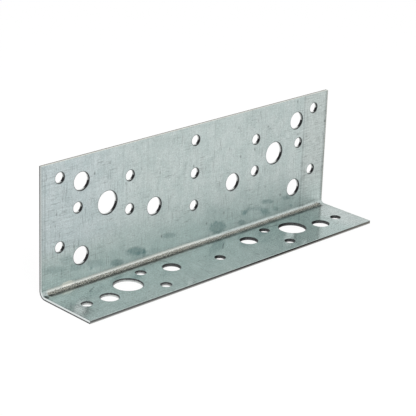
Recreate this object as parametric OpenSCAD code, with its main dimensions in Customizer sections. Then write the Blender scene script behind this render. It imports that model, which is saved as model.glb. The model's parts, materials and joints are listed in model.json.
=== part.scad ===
// Perforated angle bracket: one strip of galvanised sheet, punched flat and then folded once.
// Frame: X runs along the fold, +Y points towards the back of the upright leg and +Z points up.
// The origin is the middle of the footprint, on the underside of the foot leg.

/* [Sheet] */
// Thickness of the sheet
sheet_t = 1.5; // [1:0.1:2]
// Length of the bracket along the fold
bracket_length = 180; // [150:1:240]
// Height of the upright leg, from the underside to its free edge
upright_h = 61; // [58:0.5:90]
// Depth of the foot leg, from the back face to its free edge
foot_d = 34; // [33:0.5:60]

/* [Fold] */
// Inside radius of the fold
fold_r = 2; // [1.6:0.1:2.6]
// Width of the band that the folding punch has pressed into the inside of the fold
coin_w = 2.1; // [1.6:0.1:2.6]
// Depth of the pressed band
coin_depth = 0.08; // [0.04:0.01:0.2]
// Distance of the pressed band from each end of the bracket
coin_inset = 2.8; // [1:0.1:6]

/* [Edges] */
// Radius rolled onto the two long free edges on the punched side
edge_roll = 0.2; // [0.1:0.05:0.4]
// Depth of the rim drawn down round each hole on the punched side
rim_roll = 0.15; // [0.05:0.05:0.3]

/* [Holes] */
// Diameter of the nail holes
nail_d = 5; // [4:0.1:5.5]
// Diameter of the screw holes
screw_d = 8.5; // [7:0.1:9]
// Diameter of the bolt holes in the upright leg
upright_bolt_d = 11; // [10:0.1:12]
// Diameter of the bolt holes in the foot leg
foot_bolt_d = 13.5; // [12:0.1:14]

/* [Columns] */
// Place of the outermost nail holes, in grid steps from the middle of the bracket
end_nail_steps = 8; // [7.8:0.05:8.4]
// Place of the single nail holes beside the bolts, in grid steps from the middle
stagger_nail_steps = 7; // [6.6:0.05:7.3]
// Place of the outer screw holes, in grid steps from the middle
outer_screw_steps = 6.8; // [6.6:0.05:7]
// Place of the bolt holes, in grid steps from the middle
bolt_steps = 5.3; // [5.1:0.05:5.5]
// Place of the inner nail holes, in grid steps from the middle
inner_nail_steps = 4; // [3.7:0.05:4.2]
// Place of the inner screw holes, in grid steps from the middle
inner_screw_steps = 2.5; // [2:0.05:2.8]

/* [Upright rows] */
// Distance of the first row of nail holes below the top edge
nail_margin = 7.25; // [5.5:0.25:9]
// Distance between two nail holes of one column
nail_pitch = 16; // [14:0.5:17]
// Distance of the upper outer screw holes below the top edge
high_screw_drop = 11.5; // [9:0.25:14]
// Distance of the lower outer screw holes below the top edge
low_screw_drop = 46.25; // [44:0.25:49]
// Distance of the inner screw holes below the top edge
inner_screw_drop = 33.5; // [24:0.5:40]
// Distance of the bolt holes below the top edge
upright_bolt_drop = 25; // [22:0.5:28]

/* [Foot rows] */
// Distance of the outer nail row from the front edge
front_nail_gap = 7.25; // [5.5:0.25:9]
// Distance between the two rows of paired nail holes
foot_row_pitch = 17; // [14:0.5:18]
// Distance of the single nail holes from the front edge
single_nail_gap = 14; // [10:0.5:20]
// Distance of the outer screw holes from the front edge
outer_screw_gap = 13; // [10:0.5:16]
// Distance of the inner screw holes from the front edge
inner_screw_gap = 20; // [12:0.5:22]
// Distance of the bolt holes from the front edge
foot_bolt_gap = 18; // [15:0.5:19]

/* [Hidden] */
$fn = 96;
// Extra reach that carries a cut past the face that it opens
reach = 0.5;
// Direction of the middle of the fold, seen from the centre of its radius
fold_mid = -45;
outer_r = fold_r + sheet_t;
back_y = foot_d / 2;
front_y = -foot_d / 2;
face_y = back_y - sheet_t;
coin_l = bracket_length - 2 * coin_inset;
// Grid steps in the whole length: the columns of holes keep their shares of it
length_steps = 18;
grid_step = bracket_length / length_steps;
end_nail_x = end_nail_steps * grid_step;
stagger_nail_x = stagger_nail_steps * grid_step;
outer_screw_x = outer_screw_steps * grid_step;
bolt_x = bolt_steps * grid_step;
inner_nail_x = inner_nail_steps * grid_step;
inner_screw_x = inner_screw_steps * grid_step;

nail_rows = [for (i = [0 : 2]) upright_h - nail_margin - i * nail_pitch];
half_rows = [for (i = [0 : 1]) upright_h - nail_margin - (i + 0.5) * nail_pitch];
upright_nails = [
    [end_nail_x, nail_rows[0]],
    [stagger_nail_x, nail_rows[1]],
    [end_nail_x, nail_rows[2]],
    for (z = half_rows) [inner_nail_x, z]
];

// Both mirror images of each position about the middle of the bracket
function mirrored(spots) = [for (s = spots, side = [-1, 1]) [side * s[0], s[1]]];

// What is left of a square corner outside its quarter round, grown by reach past the corner
module corner_rest(r) {
    difference() {
        square(r + reach);
        circle(r = r);
    }
}

// Cross-section through the folded sheet, front to back along X and upwards along Y
module section() {
    difference() {
        union() {
            translate([front_y, 0])
                square([foot_d, sheet_t]);
            translate([face_y, 0])
                square([sheet_t, upright_h]);
            translate([face_y - fold_r, sheet_t + fold_r])
                mirror([0, 1])
                    corner_rest(fold_r);
        }
        translate([back_y - outer_r, outer_r])
            mirror([0, 1])
                corner_rest(outer_r);
        translate([face_y + edge_roll, upright_h - edge_roll])
            mirror([1, 0])
                corner_rest(edge_roll);
        translate([front_y + edge_roll, sheet_t - edge_roll])
            mirror([1, 0])
                corner_rest(edge_roll);
    }
}

// Cross-section of the band pressed into the inside of the fold
module coin_section() {
    translate([face_y - fold_r, sheet_t + fold_r])
        rotate(fold_mid)
            intersection() {
                circle(r = fold_r + coin_depth);
                translate([0, -coin_w / 2])
                    square([outer_r, coin_w]);
            }
}

// A length of a cross-section, laid along the fold about the middle of the bracket
module along_fold(length) {
    rotate([90, 0, 90])
        linear_extrude(height = length, center = true)
            children();
}

// Cut of one punched hole, with its unpunched face on Z = 0 and the drawn rim at the top
module punched_hole(d) {
    translate([0, 0, -reach])
        cylinder(d = d, h = sheet_t + 2 * reach);
    translate([0, 0, sheet_t - rim_roll])
        cylinder(d1 = d, d2 = d + 2 * (rim_roll + reach), h = rim_roll + reach);
}

// Holes of one size in the upright leg, each position given as distance along the fold and height
module upright_holes(d, spots) {
    for (s = spots)
        translate([s[0], back_y, s[1]])
            rotate([90, 0, 0])
                punched_hole(d);
}

// Holes of one size in the foot leg, each position given along the fold and from the front edge
module foot_holes(d, spots) {
    for (s = spots)
        translate([s[0], front_y + s[1], 0])
            punched_hole(d);
}

// The whole bracket
module angle_bracket() {
    color([0.66, 0.69, 0.67])
        difference() {
            along_fold(bracket_length)
                section();
            along_fold(coin_l)
                coin_section();
            upright_holes(nail_d, mirrored(upright_nails));
            upright_holes(nail_d, [for (z = nail_rows) [0, z]]);
            upright_holes(screw_d, mirrored([
                [outer_screw_x, upright_h - high_screw_drop],
                [outer_screw_x, upright_h - low_screw_drop],
                [inner_screw_x, upright_h - inner_screw_drop]
            ]));
            upright_holes(upright_bolt_d, mirrored([[bolt_x, upright_h - upright_bolt_drop]]));
            foot_holes(nail_d, mirrored([
                [end_nail_x, single_nail_gap],
                [inner_nail_x, front_nail_gap],
                [inner_nail_x, front_nail_gap + foot_row_pitch]
            ]));
            foot_holes(nail_d, [[0, single_nail_gap]]);
            foot_holes(screw_d, mirrored([
                [outer_screw_x, outer_screw_gap],
                [inner_screw_x, inner_screw_gap]
            ]));
            foot_holes(foot_bolt_d, mirrored([[bolt_x, foot_bolt_gap]]));
        }
}

angle_bracket();
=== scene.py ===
import json
import math

import bpy
from mathutils import Matrix, Vector


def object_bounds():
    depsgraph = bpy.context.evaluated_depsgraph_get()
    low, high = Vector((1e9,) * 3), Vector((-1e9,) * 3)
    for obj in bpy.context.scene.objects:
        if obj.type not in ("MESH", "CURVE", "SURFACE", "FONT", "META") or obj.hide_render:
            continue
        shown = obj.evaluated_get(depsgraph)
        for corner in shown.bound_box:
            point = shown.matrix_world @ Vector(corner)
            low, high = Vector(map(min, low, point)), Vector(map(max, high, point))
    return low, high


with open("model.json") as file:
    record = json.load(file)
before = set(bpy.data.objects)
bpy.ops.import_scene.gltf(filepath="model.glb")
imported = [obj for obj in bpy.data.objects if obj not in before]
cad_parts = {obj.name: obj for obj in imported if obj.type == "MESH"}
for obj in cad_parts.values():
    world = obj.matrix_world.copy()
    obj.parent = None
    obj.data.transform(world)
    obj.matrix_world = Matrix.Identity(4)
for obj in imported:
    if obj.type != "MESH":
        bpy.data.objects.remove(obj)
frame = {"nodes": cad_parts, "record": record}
cad_box = [list(corner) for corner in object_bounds()]

MM = 0.001

# Outline of the bracket in mm, from the frame, then its sheet and the inside radius of its fold
(_, FRONT_Y, _), (HALF_L, BACK_Y, TOP_Z) = ([round(side / MM, 3) for side in corner] for corner in cad_box)
SHEET = 1.5
FOLD_R = 2.0
FACE_Y = BACK_Y - SHEET
BEND_Y = FACE_Y - FOLD_R
BEND_Z = SHEET + FOLD_R
OUTER_R = FOLD_R + SHEET
# Distance from the middle at which the band pressed into the fold fades out
BAND_HALF_L = HALF_L - 2.7

# Usual range of a noise
NOISE_LOW = 0.3
NOISE_HIGH = 0.7

# Share of its direction above which a face counts as facing an axis
FACING = 0.9
# Distances in mm for the borders of masks: half of a border, on a face, near one and clear of one
SOFT = 0.04
ON_FACE = 0.1
NEAR_FACE = 0.2
CLEAR = 0.25

# Noises: scale along the fold and across it in 1/mm, seed, detail, roughness and warp
STRIP_NOISES = {
    "grain": (1.7, 1.3, 0.0, 3.0, 0.7, 0.0),
    "fleck": (0.75, 0.55, 5.0, 2.0, 0.6, 0.3),
    "patch": (0.17, 0.13, 9.0, 2.0, 0.5, 0.5),
    "drift": (0.035, 0.03, 13.0, 2.0, 0.5, 0.0),
    "rolled": (1.1, 0.06, 17.0, 2.0, 0.6, 0.0),
    "fine_rolled": (3.0, 0.16, 21.0, 2.0, 0.6, 0.0),
    "crossed": (0.10, 1.5, 25.0, 2.0, 0.6, 0.0),
    "high_scratch": (1.7, 0.11, 31.0, 1.0, 0.5, 0.0),
    "high_places": (0.08, 0.08, 35.0, 1.0, 0.5, 0.0),
    "wide_scratch": (0.15, 1.9, 39.0, 1.0, 0.5, 0.0),
    "wide_places": (0.06, 0.1, 43.0, 1.0, 0.5, 0.0),
    "speck": (1.3, 1.1, 47.0, 1.0, 0.5, 0.0),
    "fine_speck": (2.3, 1.9, 75.0, 1.0, 0.5, 0.0),
}
FOLD_NOISES = {
    "crush": (2.3, 2.0, 57.0, 3.0, 0.8, 0.0),
    "wander": (0.9, 0.0, 61.0, 3.0, 0.7, 0.0),
    "warm": (0.35, 1.0, 67.0, 2.0, 0.6, 0.0),
    "uneven": (0.13, 0.0, 71.0, 2.0, 0.6, 0.0),
}

# How far each noise swings the brightness of the zinc
BRIGHTNESS_SWINGS = {
    "grain": 0.18,
    "fleck": 0.05,
    "patch": 0.025,
    "drift": 0.02,
    "rolled": 0.04,
    "fine_rolled": 0.08,
}

# Changes of brightness along the foot: where each starts, where it is full, and its share
FOOT_SLOPES = [
    (-10.0, -90.0, 0.02),
    (5.0, 48.0, -0.17),
    (66.0, 84.0, 0.09),
]

# Stains, each given as its place along the fold and across it, half width, half height, strength
# and hollow share. Those of the upright are laid along lines that sink to the right by the tilt
STAIN_TILT = 0.2
UPRIGHT_STAINS = [
    (-82.9, 11.9, 6.2, 1.7, 0.18, 0.0),
    (-76.1, 15.0, 3.6, 2.2, 0.14, 0.0),
    (-70.2, 9.8, 4.4, 1.7, 0.23, 0.0),
    (-59.6, 8.4, 6.0, 1.9, 0.26, 0.0),
    (-46.9, 5.5, 3.8, 1.6, 0.46, 0.0),
    (-35.6, 8.1, 6.0, 2.1, 0.52, 0.0),
    (-33.7, 5.2, 5.0, 2.2, 0.14, 0.0),
    (-30.8, 6.0, 1.3, 2.1, 0.30, 0.0),
    (-23.6, 5.5, 3.0, 1.2, 0.14, 0.0),
    (-15.5, 10.6, 4.2, 1.4, 0.29, 0.0),
    (15.9, 6.6, 5.2, 3.0, 0.66, 0.35),
    (14.5, 14.8, 5.5, 4.0, 0.08, 0.0),
    (13.6, 15.4, 1.7, 1.0, 0.09, 0.0),
    (21.8, 14.3, 1.7, 1.0, 0.08, 0.0),
    (32.5, 5.1, 2.5, 1.4, 0.40, 0.0),
    (33.7, 9.8, 2.3, 1.3, 0.26, 0.0),
    (34.5, 18.7, 3.5, 3.0, 0.06, 0.0),
    (41.2, 6.6, 9.4, 4.1, 0.48, 0.80),
    (48.2, 6.8, 3.2, 2.1, 0.21, 0.0),
    (49.8, 11.5, 4.6, 1.3, 0.34, 0.0),
    (56.1, 6.3, 2.1, 1.3, 0.29, 0.0),
    (63.4, 10.3, 3.5, 1.2, 0.29, 0.0),
    (67.3, 5.3, 1.1, 0.9, 0.38, 0.0),
    (-62.3, 6.7, 0.9, 0.8, 0.30, 0.0),
]
FOOT_STAINS = [
    (-86.0, -5.5, 5.5, 7.0, 0.27, 0.0),
    (-78.0, 1.0, 3.0, 2.5, 0.09, 0.0),
    (-20.3, 11.2, 5.0, 1.8, 0.10, 0.0),
    (-30.0, 12.0, 6.0, 1.4, 0.08, 0.0),
    (62.0, -6.0, 10.0, 3.0, 0.05, 0.0),
]
# How much of each colour channel a full stain takes away
STAIN_TINT = (1.13, 0.95, 0.93)

# Fine scratches on the foot: place along the fold and across it at both ends, then their width
FOOT_SCRATCHES = [
    (-24.2, 12.8, -22.4, 7.8),
    (-24.0, 12.9, -31.0, 10.9),
    (-71.0, 6.0, -66.5, 8.5),
    (44.0, 9.0, 52.5, 7.5),
    (8.5, 4.0, 13.0, 8.0),
]
SCRATCH_WIDTH = 0.60

# Small dark nicks: size of the cells that hold one each, width over height, and half width, in mm
NICK_CELL = 10.0
NICK_SHAPE = 0.6
NICK_HALF = 0.75

# Faint lines that the rolls left down the upright: place, half width, strength and lower end
ROLL_LINES = [
    (-88.2, 0.50, 0.18, 7.0),
    (-44.2, 0.45, 0.08, 38.0),
    (-29.5, 0.40, 0.13, 38.0),
    (12.3, 0.40, 0.14, 38.0),
    (33.3, 0.35, 0.07, 38.0),
]
# The clear roll mark near the right end, and the fainter one beside it
ROLL_MARK = 73.6
SECOND_MARK = 75.7

# Painted shade in the nips at the ends of the pressed band: place along the fold and across it,
# half width, half height and strength
FOLD_NIP_SHADES = [
    (-86.1, -1.35, 1.7, 0.65, 1.0),
    (-89.2, -1.7, 1.2, 1.3, 0.9),
    (-88.2, 0.2, 0.6, 0.3, 0.5),
    (87.4, -0.5, 0.8, 0.4, 0.9),
    (86.0, 0.3, 0.5, 0.3, 0.6),
]
# Pale smear above the left end of the band: place along the fold, height, half width, half height
SMEAR = (-75.6, 3.5, 3.3, 1.0)


class Graph:
    """Short calls for building one node tree."""

    def __init__(self, tree):
        self.tree = tree
        self.tree.nodes.clear()

    def add(self, kind, **values):
        node = self.tree.nodes.new(kind)
        for name, value in values.items():
            setattr(node, name, value)
        return node

    def put(self, socket, value):
        """Link a socket to an output, or set its own value."""
        if isinstance(value, bpy.types.NodeSocket):
            self.tree.links.new(value, socket)
        else:
            socket.default_value = value

    def math(self, op, *values, clamp=False):
        node = self.add("ShaderNodeMath", operation=op, use_clamp=clamp)
        for socket, value in zip(node.inputs, values):
            self.put(socket, value)
        return node.outputs[0]

    def chain(self, op, values):
        """One operation carried over all the values, each taken only when its turn comes."""
        values = iter(values)
        result = next(values)
        for value in values:
            result = self.math(op, result, value)
        return result

    def total(self, *values):
        return self.chain("ADD", values)

    def product(self, *values):
        return self.chain("MULTIPLY", values)

    def largest(self, *values):
        return self.chain("MAXIMUM", values)

    def minus(self, a, b):
        return self.math("SUBTRACT", a, b)

    def rest(self, mask):
        """1 where the mask is 0, and 0 where it is 1."""
        return self.minus(1.0, mask)

    def size(self, value):
        return self.math("ABSOLUTE", value)

    def rise(self, value, low, high):
        """0 below low, 1 above high, smooth between."""
        node = self.add("ShaderNodeMapRange", interpolation_type="SMOOTHSTEP")
        self.put(node.inputs["Value"], value)
        self.put(node.inputs["From Min"], low)
        self.put(node.inputs["From Max"], high)
        return node.outputs["Result"]

    def above(self, value, limit, soft=SOFT):
        return self.rise(value, limit - soft, limit + soft)

    def below(self, value, limit, soft=SOFT):
        return self.rise(value, limit + soft, limit - soft)

    def span(self, value, low, high, out_low, out_high):
        """The range from low to high laid straight onto another, and cut off at its ends."""
        node = self.add("ShaderNodeMapRange")
        self.put(node.inputs["Value"], value)
        sides = ("From Min", "From Max", "To Min", "To Max")
        for side, number in zip(sides, (low, high, out_low, out_high)):
            self.put(node.inputs[side], number)
        return node.outputs["Result"]

    def swing(self, noise, reach):
        """A noise that runs from minus reach to reach."""
        return self.span(noise, NOISE_LOW, NOISE_HIGH, -reach, reach)

    def join(self, x, y, z):
        node = self.add("ShaderNodeCombineXYZ")
        for socket, value in zip(node.inputs, (x, y, z)):
            self.put(socket, value)
        return node.outputs[0]

    def grey(self, value):
        return self.join(value, value, value)

    def plane(self, u, v):
        return self.join(u, v, 0.0)

    def split(self, vector):
        node = self.add("ShaderNodeSeparateXYZ")
        self.put(node.inputs[0], vector)
        return node.outputs

    def noise(self, vector, scale, detail=2.0, rough=0.5, warp=0.0):
        node = self.add("ShaderNodeTexNoise")
        self.put(node.inputs["Vector"], vector)
        self.put(node.inputs["Scale"], scale)
        self.put(node.inputs["Detail"], detail)
        self.put(node.inputs["Roughness"], rough)
        self.put(node.inputs["Distortion"], warp)
        return node.outputs["Fac"]

    def mix(self, share, a, b, blend="MIX"):
        """Colour a, given over to colour b by the share."""
        node = self.add("ShaderNodeMix", data_type="RGBA", blend_type=blend)
        for index, value in ((0, share), (6, a), (7, b)):
            self.put(node.inputs[index], value)
        return node.outputs[2]

    def mix_number(self, share, a, b):
        """Number a, given over to number b by the share."""
        node = self.add("ShaderNodeMix", data_type="FLOAT")
        for index, value in ((0, share), (2, a), (3, b)):
            self.put(node.inputs[index], value)
        return node.outputs[0]

    def vector(self, op, *values):
        """Both outputs of a vector operation: Vector and Value."""
        node = self.add("ShaderNodeVectorMath", operation=op)
        for socket, value in zip(node.inputs, values):
            self.put(socket, value)
        return node.outputs

    def away(self, plane, u, v):
        """Distance from a point of a plane."""
        return self.vector("DISTANCE", plane, (u, v, 0.0))["Value"]

    def oval(self, plane, u, v, wide, high):
        """Place on a plane in half axes of an oval, and its distance from the oval's centre."""
        shares = (1 / wide, 1 / high, 0.0)
        place = self.vector("MULTIPLY_ADD", plane, shares, (-u / wide, -v / high, 0.0))["Vector"]
        return place, self.vector("LENGTH", place)["Value"]


class SheetGraph(Graph):
    """Node tree of the sheet: places in mm, masks that are 1 on one kind of face, and noises."""

    def __init__(self, tree):
        super().__init__(tree)
        self.textures = {}
        coord = self.add("ShaderNodeTexCoord")
        geometry = self.add("ShaderNodeNewGeometry")
        place = self.add("ShaderNodeVectorMath", operation="SCALE")
        self.put(place.inputs[0], coord.outputs["Object"])
        self.put(place.inputs["Scale"], 1 / MM)
        self.x, self.y, self.z = self.split(place.outputs[0])
        self.nx, ny, self.nz = self.split(geometry.outputs["True Normal"])
        faces_end, faces_front, faces_up = (
            self.above(self.size(share), FACING) for share in (self.nx, ny, self.nz)
        )
        self.side_x = self.size(self.x)
        self.near_ends = self.rise(self.side_x, 68.0, 74.0)
        # Place across the strip, the same on both legs
        self.across = self.minus(self.z, self.y)
        # Place across the fold: 0 at its middle, less on the foot and more on the upright
        off_corner = self.minus(self.total(self.y, self.z), FACE_Y + SHEET)
        self.fold = self.math("DIVIDE", off_corner, math.sqrt(2.0))

        self.end_face = self.product(faces_end, self.above(self.side_x, HALF_L - NEAR_FACE))
        self.top_edge = self.product(faces_up, self.above(self.z, TOP_Z - ON_FACE))
        self.front_edge = self.product(faces_front, self.below(self.y, FRONT_Y + ON_FACE))
        self.inner = self.product(
            self.below(self.y, FACE_Y + CLEAR), self.above(self.z, SHEET - NEAR_FACE),
        )
        in_fold = self.product(
            self.above(self.y, BEND_Y - NEAR_FACE), self.below(self.z, BEND_Z + NEAR_FACE),
        )
        off_front = self.size(self.minus(self.y, FACE_Y))
        off_top = self.size(self.minus(self.z, SHEET))
        self.upright_front = self.product(faces_front, self.below(off_front, ON_FACE))
        self.foot_top = self.product(faces_up, self.below(off_top, ON_FACE))
        back = self.product(faces_front, self.above(self.y, BACK_Y - ON_FACE))
        underside = self.product(faces_up, self.below(self.z, ON_FACE))
        uncut = self.largest(
            self.upright_front, self.foot_top, back, underside, in_fold,
            self.end_face, self.top_edge, self.front_edge,
        )
        self.cut_wall = self.product(
            self.rest(uncut),
            self.below(self.side_x, HALF_L - CLEAR),
            self.below(self.z, TOP_Z - CLEAR),
            self.above(self.y, FRONT_Y + CLEAR),
        )

    def texture(self, name):
        """One of the named noises, made on its first use."""
        if name not in self.textures:
            if name in STRIP_NOISES:
                settings, cross = STRIP_NOISES[name], self.across
            else:
                settings, cross = FOLD_NOISES[name], self.fold
            scale_along, scale_cross, seed, detail, rough, warp = settings
            place = self.join(self.product(self.x, scale_along), self.product(cross, scale_cross), seed)
            self.textures[name] = self.noise(place, 1.0, detail, rough, warp)
        return self.textures[name]


def hole_places(axis, row):
    """Holes of one leg as distance from the middle, place along the row axis and radius, in mm."""
    places = set()
    for mount in frame["record"]["mounts"]:
        if mount["kind"] != "bolt_pattern" or abs(mount["axis"][axis]) < 0.5:
            continue
        dims = mount["dims"]
        middle_x, middle_row = mount["pos_m"][0] / MM, mount["pos_m"][row] / MM
        half_x, half_row = dims.get("spacing_x_mm", 0.0) / 2, dims.get("spacing_y_mm", 0.0) / 2
        for sign_x in (-1, 1):
            for sign_row in (-1, 1):
                off_middle = abs(middle_x + sign_x * half_x)
                cross = middle_row + sign_row * half_row
                places.add((round(off_middle, 2), round(cross, 2), dims["hole_r_mm"]))
    return sorted(places)


def stain_field(g, plane, wobble, stains):
    """Sum of oval stains.

    A hollow stain keeps a dark outline, and one that is mostly hollow keeps only its upper half.
    """
    field = 0.0
    for *shape, strength, hollow in stains:
        place, away = g.oval(plane, *shape)
        away = g.total(away, wobble)
        spot = g.product(g.rise(away, 1.30, 0.60), strength)
        if hollow:
            spot = g.product(spot, g.rest(g.product(g.rise(away, 0.90, 0.50), hollow)))
        if hollow > 0.5:
            spot = g.product(spot, g.rise(g.split(place)[1], -0.5, 0.2))
        field = g.total(field, spot)
    return field


def stroke(g, plane, ends, width):
    """1 on a straight scratch between two points of a plane, falling to 0 at its width."""
    u0, v0, u1, v1 = ends
    along_u, along_v = u1 - u0, v1 - v0
    length_sq = along_u ** 2 + along_v ** 2
    reach = (along_u / length_sq, along_v / length_sq, 0.0)
    start = reach[0] * u0 + reach[1] * v0
    share = g.math("SUBTRACT", g.vector("DOT_PRODUCT", plane, reach)["Value"], start, clamp=True)
    nearest = g.vector("MULTIPLY_ADD", share, (along_u, along_v, 0.0), (u0, v0, 0.0))["Vector"]
    return g.rise(g.vector("DISTANCE", plane, nearest)["Value"], width, 0.0)


def nick_field(g, plane, more):
    """Small dark upright ovals in some of a noise's cells, and in more of them where told."""
    cells = g.add("ShaderNodeTexVoronoi", voronoi_dimensions="2D")
    shares = (1 / NICK_CELL, NICK_SHAPE / NICK_CELL, 0.0)
    g.put(cells.inputs["Vector"], g.vector("MULTIPLY", plane, shares)["Vector"])
    g.put(cells.inputs["Scale"], 1.0)
    chance = g.total(g.split(cells.outputs["Color"])[0], more)
    spot = g.rise(cells.outputs["Distance"], NICK_HALF / NICK_CELL, 0.0)
    return g.product(spot, g.span(chance, 0.55, 0.95, 0.0, 0.55))


def scratch_field(g):
    """Short dark scratches across the strip and along it, and specks."""
    high = g.product(
        g.rise(g.texture("high_scratch"), 0.60, 0.68), g.rise(g.texture("high_places"), 0.44, 0.6),
    )
    wide_places = g.total(g.texture("wide_places"), g.product(g.near_ends, 0.1))
    wide = g.product(g.rise(g.texture("wide_scratch"), 0.60, 0.68), g.rise(wide_places, 0.46, 0.62))
    speck = g.rise(g.texture("speck"), 0.68, 0.74)
    fine_speck = g.product(g.rise(g.texture("fine_speck"), 0.66, 0.74), 0.75)
    return g.largest(high, wide, speck, fine_speck)


def roll_line(g, place, waver, half, core):
    """1 on a line down the upright whose place wavers, falling to 0 at its half width."""
    off_line = g.size(g.total(g.minus(g.x, place), g.swing(g.texture("rolled"), waver)))
    return g.product(g.rise(off_line, half, core), g.upright_front)


def brightness_terms(g, wobble, scratches):
    """Plain zinc's brightness of 1, and then all that is added to it or taken away."""
    yield 1.0
    for name, reach in BRIGHTNESS_SWINGS.items():
        yield g.swing(g.texture(name), reach)
    grain = g.texture("grain")
    yield g.product(g.swing(g.texture("crossed"), 0.11), g.span(g.near_ends, 0.0, 1.0, 0.35, 1.0))
    yield g.product(g.swing(grain, 0.14), g.foot_top)
    yield g.product(scratches, -0.27)

    for start, full, share in FOOT_SLOPES:
        yield g.product(g.rise(g.x, start, full), g.foot_top, share)
    # The upright is paler low down, and a little darker towards the right
    yield g.product(g.rise(g.z, 24.0, 12.0), g.upright_front, 0.065)
    yield g.product(g.rise(g.z, 11.0, 4.0), g.upright_front, g.span(g.x, -60.0, 60.0, 0.125, 0.105))
    yield g.product(g.rise(g.x, 10.0, 60.0), g.upright_front, -0.035)
    yield g.product(g.rise(g.x, 46.0, 66.0), g.rise(g.z, 30.0, 16.0), g.upright_front, -0.085)
    # Both legs are darker along their ends, painted shadow of the burr there; the upright is darker still
    # along its right end
    end_shadow_line = g.rise(g.side_x, HALF_L - 0.9, HALF_L - 0.4)
    yield g.product(end_shadow_line, g.largest(g.upright_front, g.foot_top), -0.16)
    right_end = g.rise(g.x, HALF_L - 2.4, HALF_L - 0.8)
    yield g.product(right_end, g.upright_front, g.span(g.z, TOP_Z, 5.0, -0.24, -0.32))

    # The grain breaks the roll marks into dashes
    mark = roll_line(g, ROLL_MARK, 0.25, 0.9, 0.1)
    yield g.product(mark, g.span(grain, 0.42, 0.60, -0.05, -0.38))
    second = roll_line(g, SECOND_MARK, 0.3, 0.55, 0.05)
    yield g.product(second, g.span(grain, 0.35, 0.6, 0.0, -0.16))
    for place, half, strength, low_end in ROLL_LINES:
        line = g.product(roll_line(g, place, 0.2, half, 0.05), g.above(g.z, low_end, 4.0))
        yield g.product(line, g.span(grain, 0.42, 0.60, -0.3 * strength, -1.9 * strength))

    foot_plane = g.plane(g.x, g.y)
    yield g.product(stain_field(g, foot_plane, wobble, FOOT_STAINS), g.foot_top, -1.0)
    for ends in FOOT_SCRATCHES:
        yield g.product(stroke(g, foot_plane, ends, SCRATCH_WIDTH), g.foot_top, -0.48)
    near_mark = g.product(g.rise(g.x, 66.0, 70.0), g.rise(g.x, 80.0, 76.0), 0.25)
    yield g.product(nick_field(g, g.plane(g.x, g.z), near_mark), g.upright_front, -1.0)


def zinc_colour(g, scratches):
    """Colour of both sides of the sheet, with its streaks, stains, scratches and roll marks."""
    wobble = g.swing(g.noise(g.join(g.x, g.total(g.z, g.y), 51.0), 0.45, 3.0, 0.6), 0.26)
    brightness = g.largest(g.chain("ADD", brightness_terms(g, wobble, scratches)), 0.12)

    tilted_plane = g.plane(g.x, g.math("MULTIPLY_ADD", g.x, STAIN_TILT, g.z))
    tilted_stains = [(x, z + STAIN_TILT * x, *shape) for x, z, *shape in UPRIGHT_STAINS]
    stained = g.product(stain_field(g, tilted_plane, wobble, tilted_stains), g.upright_front)
    stained = g.product(stained, g.span(g.texture("fleck"), NOISE_LOW, NOISE_HIGH, 1.15, 0.85))

    patches = g.rise(g.texture("patch"), 0.35, 0.65)
    colour = g.mix(patches, (0.462, 0.534, 0.520, 1), (0.494, 0.556, 0.543, 1))
    beyond_mark = g.product(g.rise(g.x, 72.5, 76.0), g.upright_front, 0.6)
    colour = g.mix(beyond_mark, colour, (0.475, 0.520, 0.503, 1))
    high_left = g.product(g.rise(g.x, -25.0, -75.0), g.rise(g.z, 16.0, 24.0), g.upright_front)
    colour = g.mix(high_left, colour, (1.0, 1.0, 1.035, 1), "MULTIPLY")
    stain_shade = g.join(*(g.rest(g.product(stained, share)) for share in STAIN_TINT))
    colour = g.mix(1.0, colour, stain_shade, "MULTIPLY")
    cool = g.largest(
        g.product(g.rise(g.z, 22.0, 6.0), g.upright_front, 0.30),
        g.product(g.rise(g.x, 0.0, 50.0), g.rise(g.x, 84.0, 70.0), g.foot_top, 0.62),
        g.product(g.foot_top, g.rise(g.x, 84.0, 72.0), 0.20),
    )
    colour = g.mix(cool, colour, (0.395, 0.520, 0.497, 1))
    return g.mix(1.0, colour, g.grey(brightness), "MULTIPLY")


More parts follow.
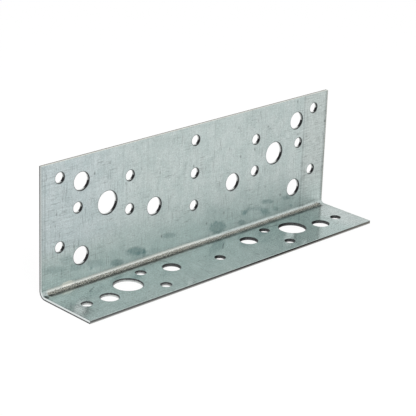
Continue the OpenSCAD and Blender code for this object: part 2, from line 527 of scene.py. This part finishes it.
def press_fold(g, colour):
    """The sheet's colour with the band pressed into the fold, with a painted highlight along its upper
    border and painted shade along its lower border and on the foot beside it, and the mask of that band.
    """
    crush, uneven = g.texture("crush"), g.texture("uneven")
    pressed = g.product(g.inner, g.below(g.side_x, BAND_HALF_L, 0.5))
    edge = g.total(g.fold, g.swing(g.texture("wander"), 0.20), g.swing(crush, 0.26))
    edge = g.total(edge, g.span(g.x, -8.0, 18.0, 0.0, 0.36))
    upper_edge = g.total(edge, g.span(g.x, -8.0, 18.0, 0.0, 0.45))
    lower_edge = g.total(g.fold, g.product(g.minus(edge, g.fold), 1.3))
    highlight_border = g.product(g.rise(edge, 0.35, 0.60), g.rise(upper_edge, 1.80, 1.45), pressed)
    band = g.product(g.rise(edge, -1.35, -1.05), g.rise(edge, 0.60, 0.35), pressed)
    dark_border = g.product(g.rise(lower_edge, -2.9, -2.0), g.rise(lower_edge, -0.95, -1.2), pressed)

    # Painted soft shade on the foot beside the band, and the pale border on the upright, a painted
    # highlight
    shade = g.product(g.rise(g.fold, -6.5, -1.8), g.rise(g.fold, -0.5, -1.0), g.inner)
    shade = g.product(shade, g.below(g.y, FACE_Y + ON_FACE))
    shade = g.product(shade, g.span(uneven, NOISE_LOW, NOISE_HIGH, 0.10, 0.42))
    colour = g.mix(shade, colour, (0.12, 0.17, 0.16, 1))
    highlight_border = g.product(highlight_border, g.span(crush, 0.36, 0.54, 0.2, 1.0))
    highlight_border = g.product(highlight_border, g.span(g.x, -4.0, 26.0, 0.95, 0.28))
    colour = g.mix(highlight_border, colour, (0.75, 0.77, 0.72, 1))

    # Crushed zinc in the band: dark pits, bare ridges and a warmer cast in places
    worn = g.total(crush, g.product(edge, 0.05))
    crushed = g.mix(g.rise(worn, 0.43, 0.56), (0.050, 0.050, 0.042, 1), (0.50, 0.51, 0.46, 1))
    warm = g.product(g.rise(g.texture("warm"), 0.5, 0.7), 0.4)
    crushed = g.mix(warm, crushed, (0.38, 0.35, 0.28, 1))
    crushed = g.mix(1.0, crushed, g.grey(g.span(uneven, 0.35, 0.65, 1.05, 0.72)), "MULTIPLY")
    colour = g.mix(band, colour, crushed)

    # Painted shade along the band's lower border, in the crease of the fold, broken up by noise and varied
    # along the fold
    border_shade = g.total(g.span(crush, 0.42, 0.58, 1.15, 0.66), g.span(uneven, 0.35, 0.65, -0.15, 0.3))
    border_shade = g.product(border_shade, g.span(g.x, -25.0, 15.0, 1.0, 0.80), g.span(g.x, -85.0, -60.0, 0.78, 1.0))
    border_shade = g.product(dark_border, g.math("MINIMUM", border_shade, 1.0))
    return g.mix(border_shade, colour, (0.018, 0.020, 0.018, 1)), band


def mark_fold(g, colour):
    """The sheet's colour with the smear above the band, and painted shade in the nips where the band runs
    out.
    """
    crush = g.texture("crush")
    off_smear = g.total(g.oval(g.plane(g.x, g.z), *SMEAR)[1], g.swing(crush, -0.4))
    smear = g.product(g.rise(off_smear, 1.35, 0.8), g.inner, g.above(g.y, BEND_Y + ON_FACE))
    colour = g.mix(smear, colour, (0.90, 0.90, 0.82, 1))
    ragged = g.swing(crush, 0.3)
    fold_plane = g.plane(g.x, g.fold)
    for *shape, strength in FOLD_NIP_SHADES:
        off_nip = g.total(g.oval(fold_plane, *shape)[1], ragged)
        # Painted shade in each nip, where the band runs out
        nip_shade = g.product(g.rise(off_nip, 1.2, 0.5), g.inner, strength)
        colour = g.mix(nip_shade, colour, (0.010, 0.015, 0.016, 1))
    return colour


def cut_wall_colour(g, shear):
    """Walls of the holes: dark at the mouth, and bare metal deeper down. On the foot, painted light on
    walls facing left and painted shade on walls facing right; in the upright, a painted dark reflection on
    walls facing up and left.
    """
    in_foot = g.below(g.z, 2.0)
    in_upright = g.rest(in_foot)
    depth = g.mix_number(in_foot, g.minus(g.y, FACE_Y), g.minus(SHEET, g.z))
    depth = g.total(depth, g.swing(shear, 0.12))
    wall = g.mix(g.rise(shear, 0.35, 0.62), (0.045, 0.047, 0.049, 1), (0.13, 0.135, 0.135, 1))
    # Painted shade on the foot's hole walls that face right, the shadow side, from about x = -45 mm on
    shade = g.product(in_foot, g.rise(g.x, -45.0, -14.0), g.rise(g.nx, -0.8, 0.2), 0.92)
    wall = g.mix(shade, wall, (0.012, 0.013, 0.014, 1))
    # Painted dark reflection on the upright's hole walls that face up and to the left
    faces_up_left = g.total(g.product(g.nx, -0.84), g.product(g.nz, 0.54))
    dark_reflection = g.product(g.rise(faces_up_left, 0.86, 0.97), in_upright)
    # Bare metal shows deeper down; on the foot its share follows the wall's facing, a painted lit side on
    # walls facing left, and fades towards the right
    bare_foot = g.product(
        in_foot, g.span(g.nx, -0.7, 0.8, 0.85, 0.25), g.span(g.x, -50.0, -20.0, 1.0, 0.08),
    )
    bare = g.product(
        g.rise(depth, 0.42, 1.02),
        g.total(g.product(in_upright, 0.92), bare_foot),
        g.rest(g.product(dark_reflection, 0.85)),
    )
    wall = g.mix(bare, wall, (0.76, 0.78, 0.77, 1))
    return g.mix(g.product(dark_reflection, 0.9), wall, (0.014, 0.015, 0.017, 1))


def end_face_colour(g, shear):
    """Sheared ends, paler at the foot, with a dark line along the outside of the section. Their pale tone
    is partly the sheared steel's own and partly painted light falling from the left.
    """
    end = g.mix(g.rise(shear, 0.35, 0.65), (0.40, 0.44, 0.43, 1), (0.52, 0.55, 0.54, 1))
    end = g.mix(g.rise(g.z, 6.0, 2.0), end, (0.66, 0.70, 0.695, 1))
    out_y = g.minus(g.y, BEND_Y)
    out_z = g.minus(BEND_Z, g.z)
    off_bend = g.math("SQRT", g.total(g.product(out_y, out_y), g.product(out_z, out_z)))
    corner = g.product(g.rise(out_y, -0.1, 0.0), g.rise(out_z, -0.1, 0.0))
    straight_line = g.largest(g.rise(g.y, BACK_Y - 0.7, BACK_Y - 0.45), g.rise(g.z, 0.72, 0.5))
    bent_line = g.rise(off_bend, OUTER_R - 0.75, OUTER_R - 0.5)
    line = g.largest(g.product(straight_line, g.rest(corner)), g.product(bent_line, corner))
    return g.mix(g.product(line, 0.97), end, (0.016, 0.015, 0.017, 1))


def top_edge_colour(g, shear):
    """Sheared top edge, dark along its back."""
    top = g.mix(g.rise(shear, 0.3, 0.65), (0.46, 0.46, 0.42, 1), (0.66, 0.67, 0.62, 1))
    return g.mix(g.rise(g.y, BACK_Y - 0.7, BACK_Y - 0.4), top, (0.09, 0.09, 0.085, 1))


def front_edge_colour(g, shear):
    """Sheared front edge, with a dark line in its upper half and a pale lip below. Its dark tone is partly
    the sheared steel's own and partly painted shade, for light falling from the left.
    """
    front = g.mix(g.rise(g.x, -60.0, 80.0), (0.13, 0.14, 0.138, 1), (0.24, 0.22, 0.195, 1))
    front = g.mix(g.rise(shear, 0.4, 0.7), front, (0.17, 0.175, 0.17, 1))
    line = g.product(g.rise(g.z, 0.45, 0.80), g.rise(g.z, SHEET, SHEET - 0.2))
    line = g.product(line, g.span(g.x, -HALF_L, 20.0, 0.45, 1.0), g.span(g.x, 45.0, 88.0, 1.0, 0.35))
    front = g.mix(line, front, (0.012, 0.011, 0.010, 1))
    return g.mix(g.rise(g.z, 0.6, 0.2), front, (0.34, 0.34, 0.325, 1))


def shear_faces(g, colour):
    """The sheet's colour with its cut and sheared faces, and the burr along the right end."""
    shear_place = g.join(g.product(g.x, 1.2), g.product(g.y, 1.8), g.product(g.z, 1.8))
    shear = g.noise(shear_place, 1.0, 3.0, 0.65)
    colour = g.mix(g.cut_wall, colour, cut_wall_colour(g, shear))
    burr = g.product(g.rise(g.x, HALF_L - 0.7, HALF_L - 0.35), g.upright_front, 0.3)
    colour = g.mix(burr, colour, (0.66, 0.63, 0.56, 1))
    colour = g.mix(g.end_face, colour, end_face_colour(g, shear))
    colour = g.mix(g.top_edge, colour, top_edge_colour(g, shear))
    return g.mix(g.front_edge, colour, front_edge_colour(g, shear))


def rim(g, holes, cross, face, weakest, strongest):
    """Thin line round the holes of one face, weaker and stronger with the flecks."""
    plane = g.plane(g.side_x, cross)
    off_rims = (g.minus(g.away(plane, off_middle, row), radius) for off_middle, row, radius in holes)
    line = g.rise(g.chain("MINIMUM", off_rims), 0.46, 0.18)
    return g.product(face, line, g.span(g.texture("fleck"), 0.35, 0.6, weakest, strongest))


def galvanised():
    """Zinc-coated sheet: mill streaks, spangle, stains, pressed fold and sheared edges."""
    mat = bpy.data.materials.new("galvanised_steel")
    mat.use_nodes = True
    g = SheetGraph(mat.node_tree)
    scratches = scratch_field(g)
    colour, band = press_fold(g, zinc_colour(g, scratches))
    colour = shear_faces(g, mark_fold(g, colour))
    upright_rims = rim(g, hole_places(axis=1, row=2), g.z, g.upright_front, 0.60, 1.0)
    foot_rims = rim(g, hole_places(axis=2, row=1), g.y, g.foot_top, 0.1, 0.4)
    colour = g.mix(g.largest(upright_rims, foot_rims), colour, (0.075, 0.088, 0.088, 1))

    height = g.total(g.product(g.texture("grain"), 0.6), g.product(g.texture("fine_rolled"), 0.5))
    height = g.minus(height, g.product(scratches, 0.7))
    height = g.total(height, g.product(g.texture("crush"), band, 3.0))
    bump = g.add("ShaderNodeBump")
    g.put(bump.inputs["Height"], height)
    g.put(bump.inputs["Strength"], 0.35)
    g.put(bump.inputs["Distance"], 0.04 * MM)

    raw = g.largest(g.cut_wall, band, g.end_face, g.top_edge, g.front_edge)
    satin = g.span(g.texture("fleck"), NOISE_LOW, NOISE_HIGH, 0.30, 0.42)
    glossy = g.span(g.texture("fleck"), NOISE_LOW, NOISE_HIGH, 0.10, 0.17)
    coated = g.mix_number(g.foot_top, satin, glossy)
    torn = g.total(0.62, g.product(g.cut_wall, 0.3))
    metal = g.minus(0.74, g.product(raw, 0.39))
    metal_cuts = g.largest(g.cut_wall, g.product(g.front_edge, g.rise(g.x, -30.0, 30.0)))

    bsdf = g.add("ShaderNodeBsdfPrincipled")
    g.put(bsdf.inputs["Base Color"], colour)
    g.put(bsdf.inputs["Metallic"], g.total(metal, g.product(metal_cuts, 0.5)))
    g.put(bsdf.inputs["Roughness"], g.mix_number(raw, coated, torn))
    g.put(bsdf.inputs["Normal"], bump.outputs[0])
    out = g.add("ShaderNodeOutputMaterial")
    g.put(out.inputs["Surface"], bsdf.outputs[0])
    return mat


def seen_share(g):
    """1 for what the camera, a reflection or clear glass sees, and 0 for the light on things."""
    path = g.add("ShaderNodeLightPath")
    rays = ("Is Camera Ray", "Is Glossy Ray", "Is Transmission Ray")
    return g.largest(*(path.outputs[ray] for ray in rays))


def floor_white():
    """White that shows white to the camera and still keeps a faint shadow."""
    mat = bpy.data.materials.new("white_floor")
    mat.use_nodes = True
    g = Graph(mat.node_tree)
    diffuse = g.add("ShaderNodeBsdfDiffuse")
    g.put(diffuse.inputs["Color"], (0.97, 0.97, 0.97, 1))
    glow = g.add("ShaderNodeEmission")
    g.put(glow.inputs["Color"], (1, 1, 1, 1))
    g.put(glow.inputs["Strength"], 1.0)
    mixer = g.add("ShaderNodeMixShader")
    g.put(mixer.inputs[0], g.product(seen_share(g), 0.9))
    g.put(mixer.inputs[1], diffuse.outputs[0])
    g.put(mixer.inputs[2], glow.outputs[0])
    out = g.add("ShaderNodeOutputMaterial")
    g.put(out.inputs["Surface"], mixer.outputs[0])
    return mat


def backdrop():
    """Large flat floor just below the bracket."""
    half = 4.0
    low = -0.1 * MM
    corners = [(-half, -half, low), (half, -half, low), (half, half, low), (-half, half, low)]
    mesh = bpy.data.meshes.new("floor")
    mesh.from_pydata(corners, [], [(0, 1, 2, 3)])
    mesh.materials.append(floor_white())
    floor = bpy.data.objects.new("floor", mesh)
    bpy.context.scene.collection.objects.link(floor)


def surroundings():
    """White world, a little weaker as light than as background."""
    world = bpy.data.worlds.new("studio")
    bpy.context.scene.world = world
    world.use_nodes = True
    g = Graph(world.node_tree)
    back = g.add("ShaderNodeBackground")
    g.put(back.inputs["Color"], (1, 1, 1, 1))
    g.put(back.inputs["Strength"], g.span(seen_share(g), 0.0, 1.0, 0.9, 1.0))
    out = g.add("ShaderNodeOutputWorld")
    g.put(out.inputs["Surface"], back.outputs[0])


def area_lamp(name, place, target, size, power):
    data = bpy.data.lights.new(name, "AREA")
    data.shape = "RECTANGLE"
    data.size, data.size_y = size
    data.energy = power
    lamp = bpy.data.objects.new(name, data)
    bpy.context.scene.collection.objects.link(lamp)
    lamp.location = place
    lamp.rotation_mode = "QUATERNION"
    lamp.rotation_quaternion = (Vector(target) - Vector(place)).to_track_quat("-Z", "Y")


def photo_camera():
    """The camera of the photograph, turned about its own axis by the roll."""
    azimuth, elevation, roll = -0.77848, 0.33687, 0.03527
    target = Vector((9.54 * MM, BACK_Y * MM, 43.6 * MM))
    distance = 739.2 * MM
    sensor_mm = 36.0
    focal_px, frame_px, centre_row_px = 1585.5, 416.0, 156.0
    data = bpy.data.cameras.new("photo")
    data.sensor_width = sensor_mm
    data.lens = focal_px / frame_px * sensor_mm
    data.shift_y = (centre_row_px - frame_px / 2) / frame_px
    data.clip_start, data.clip_end = 0.01, 20.0
    back = Vector((
        math.sin(azimuth) * math.cos(elevation),
        -math.cos(azimuth) * math.cos(elevation),
        math.sin(elevation),
    ))
    right = Vector((math.cos(azimuth), math.sin(azimuth), 0.0))
    up = back.cross(right)
    c, s = math.cos(roll), math.sin(roll)
    right, up = c * right + s * up, c * up - s * right
    cam = bpy.data.objects.new("photo", data)
    bpy.context.scene.collection.objects.link(cam)
    turn = Matrix((right, up, back)).transposed().to_4x4()
    cam.matrix_world = Matrix.Translation(target + back * distance) @ turn
    bpy.context.scene.camera = cam


sheet_material = galvanised()
for slot in frame["nodes"]["angle_bracket"].material_slots:
    slot.material = sheet_material
backdrop()
surroundings()
area_lamp("key", place=(-0.5, -0.6, 0.9), target=(0, 0, 0.02), size=(0.5, 0.5), power=6.0)
photo_camera()
bpy.context.scene.view_settings.view_transform = "Standard"
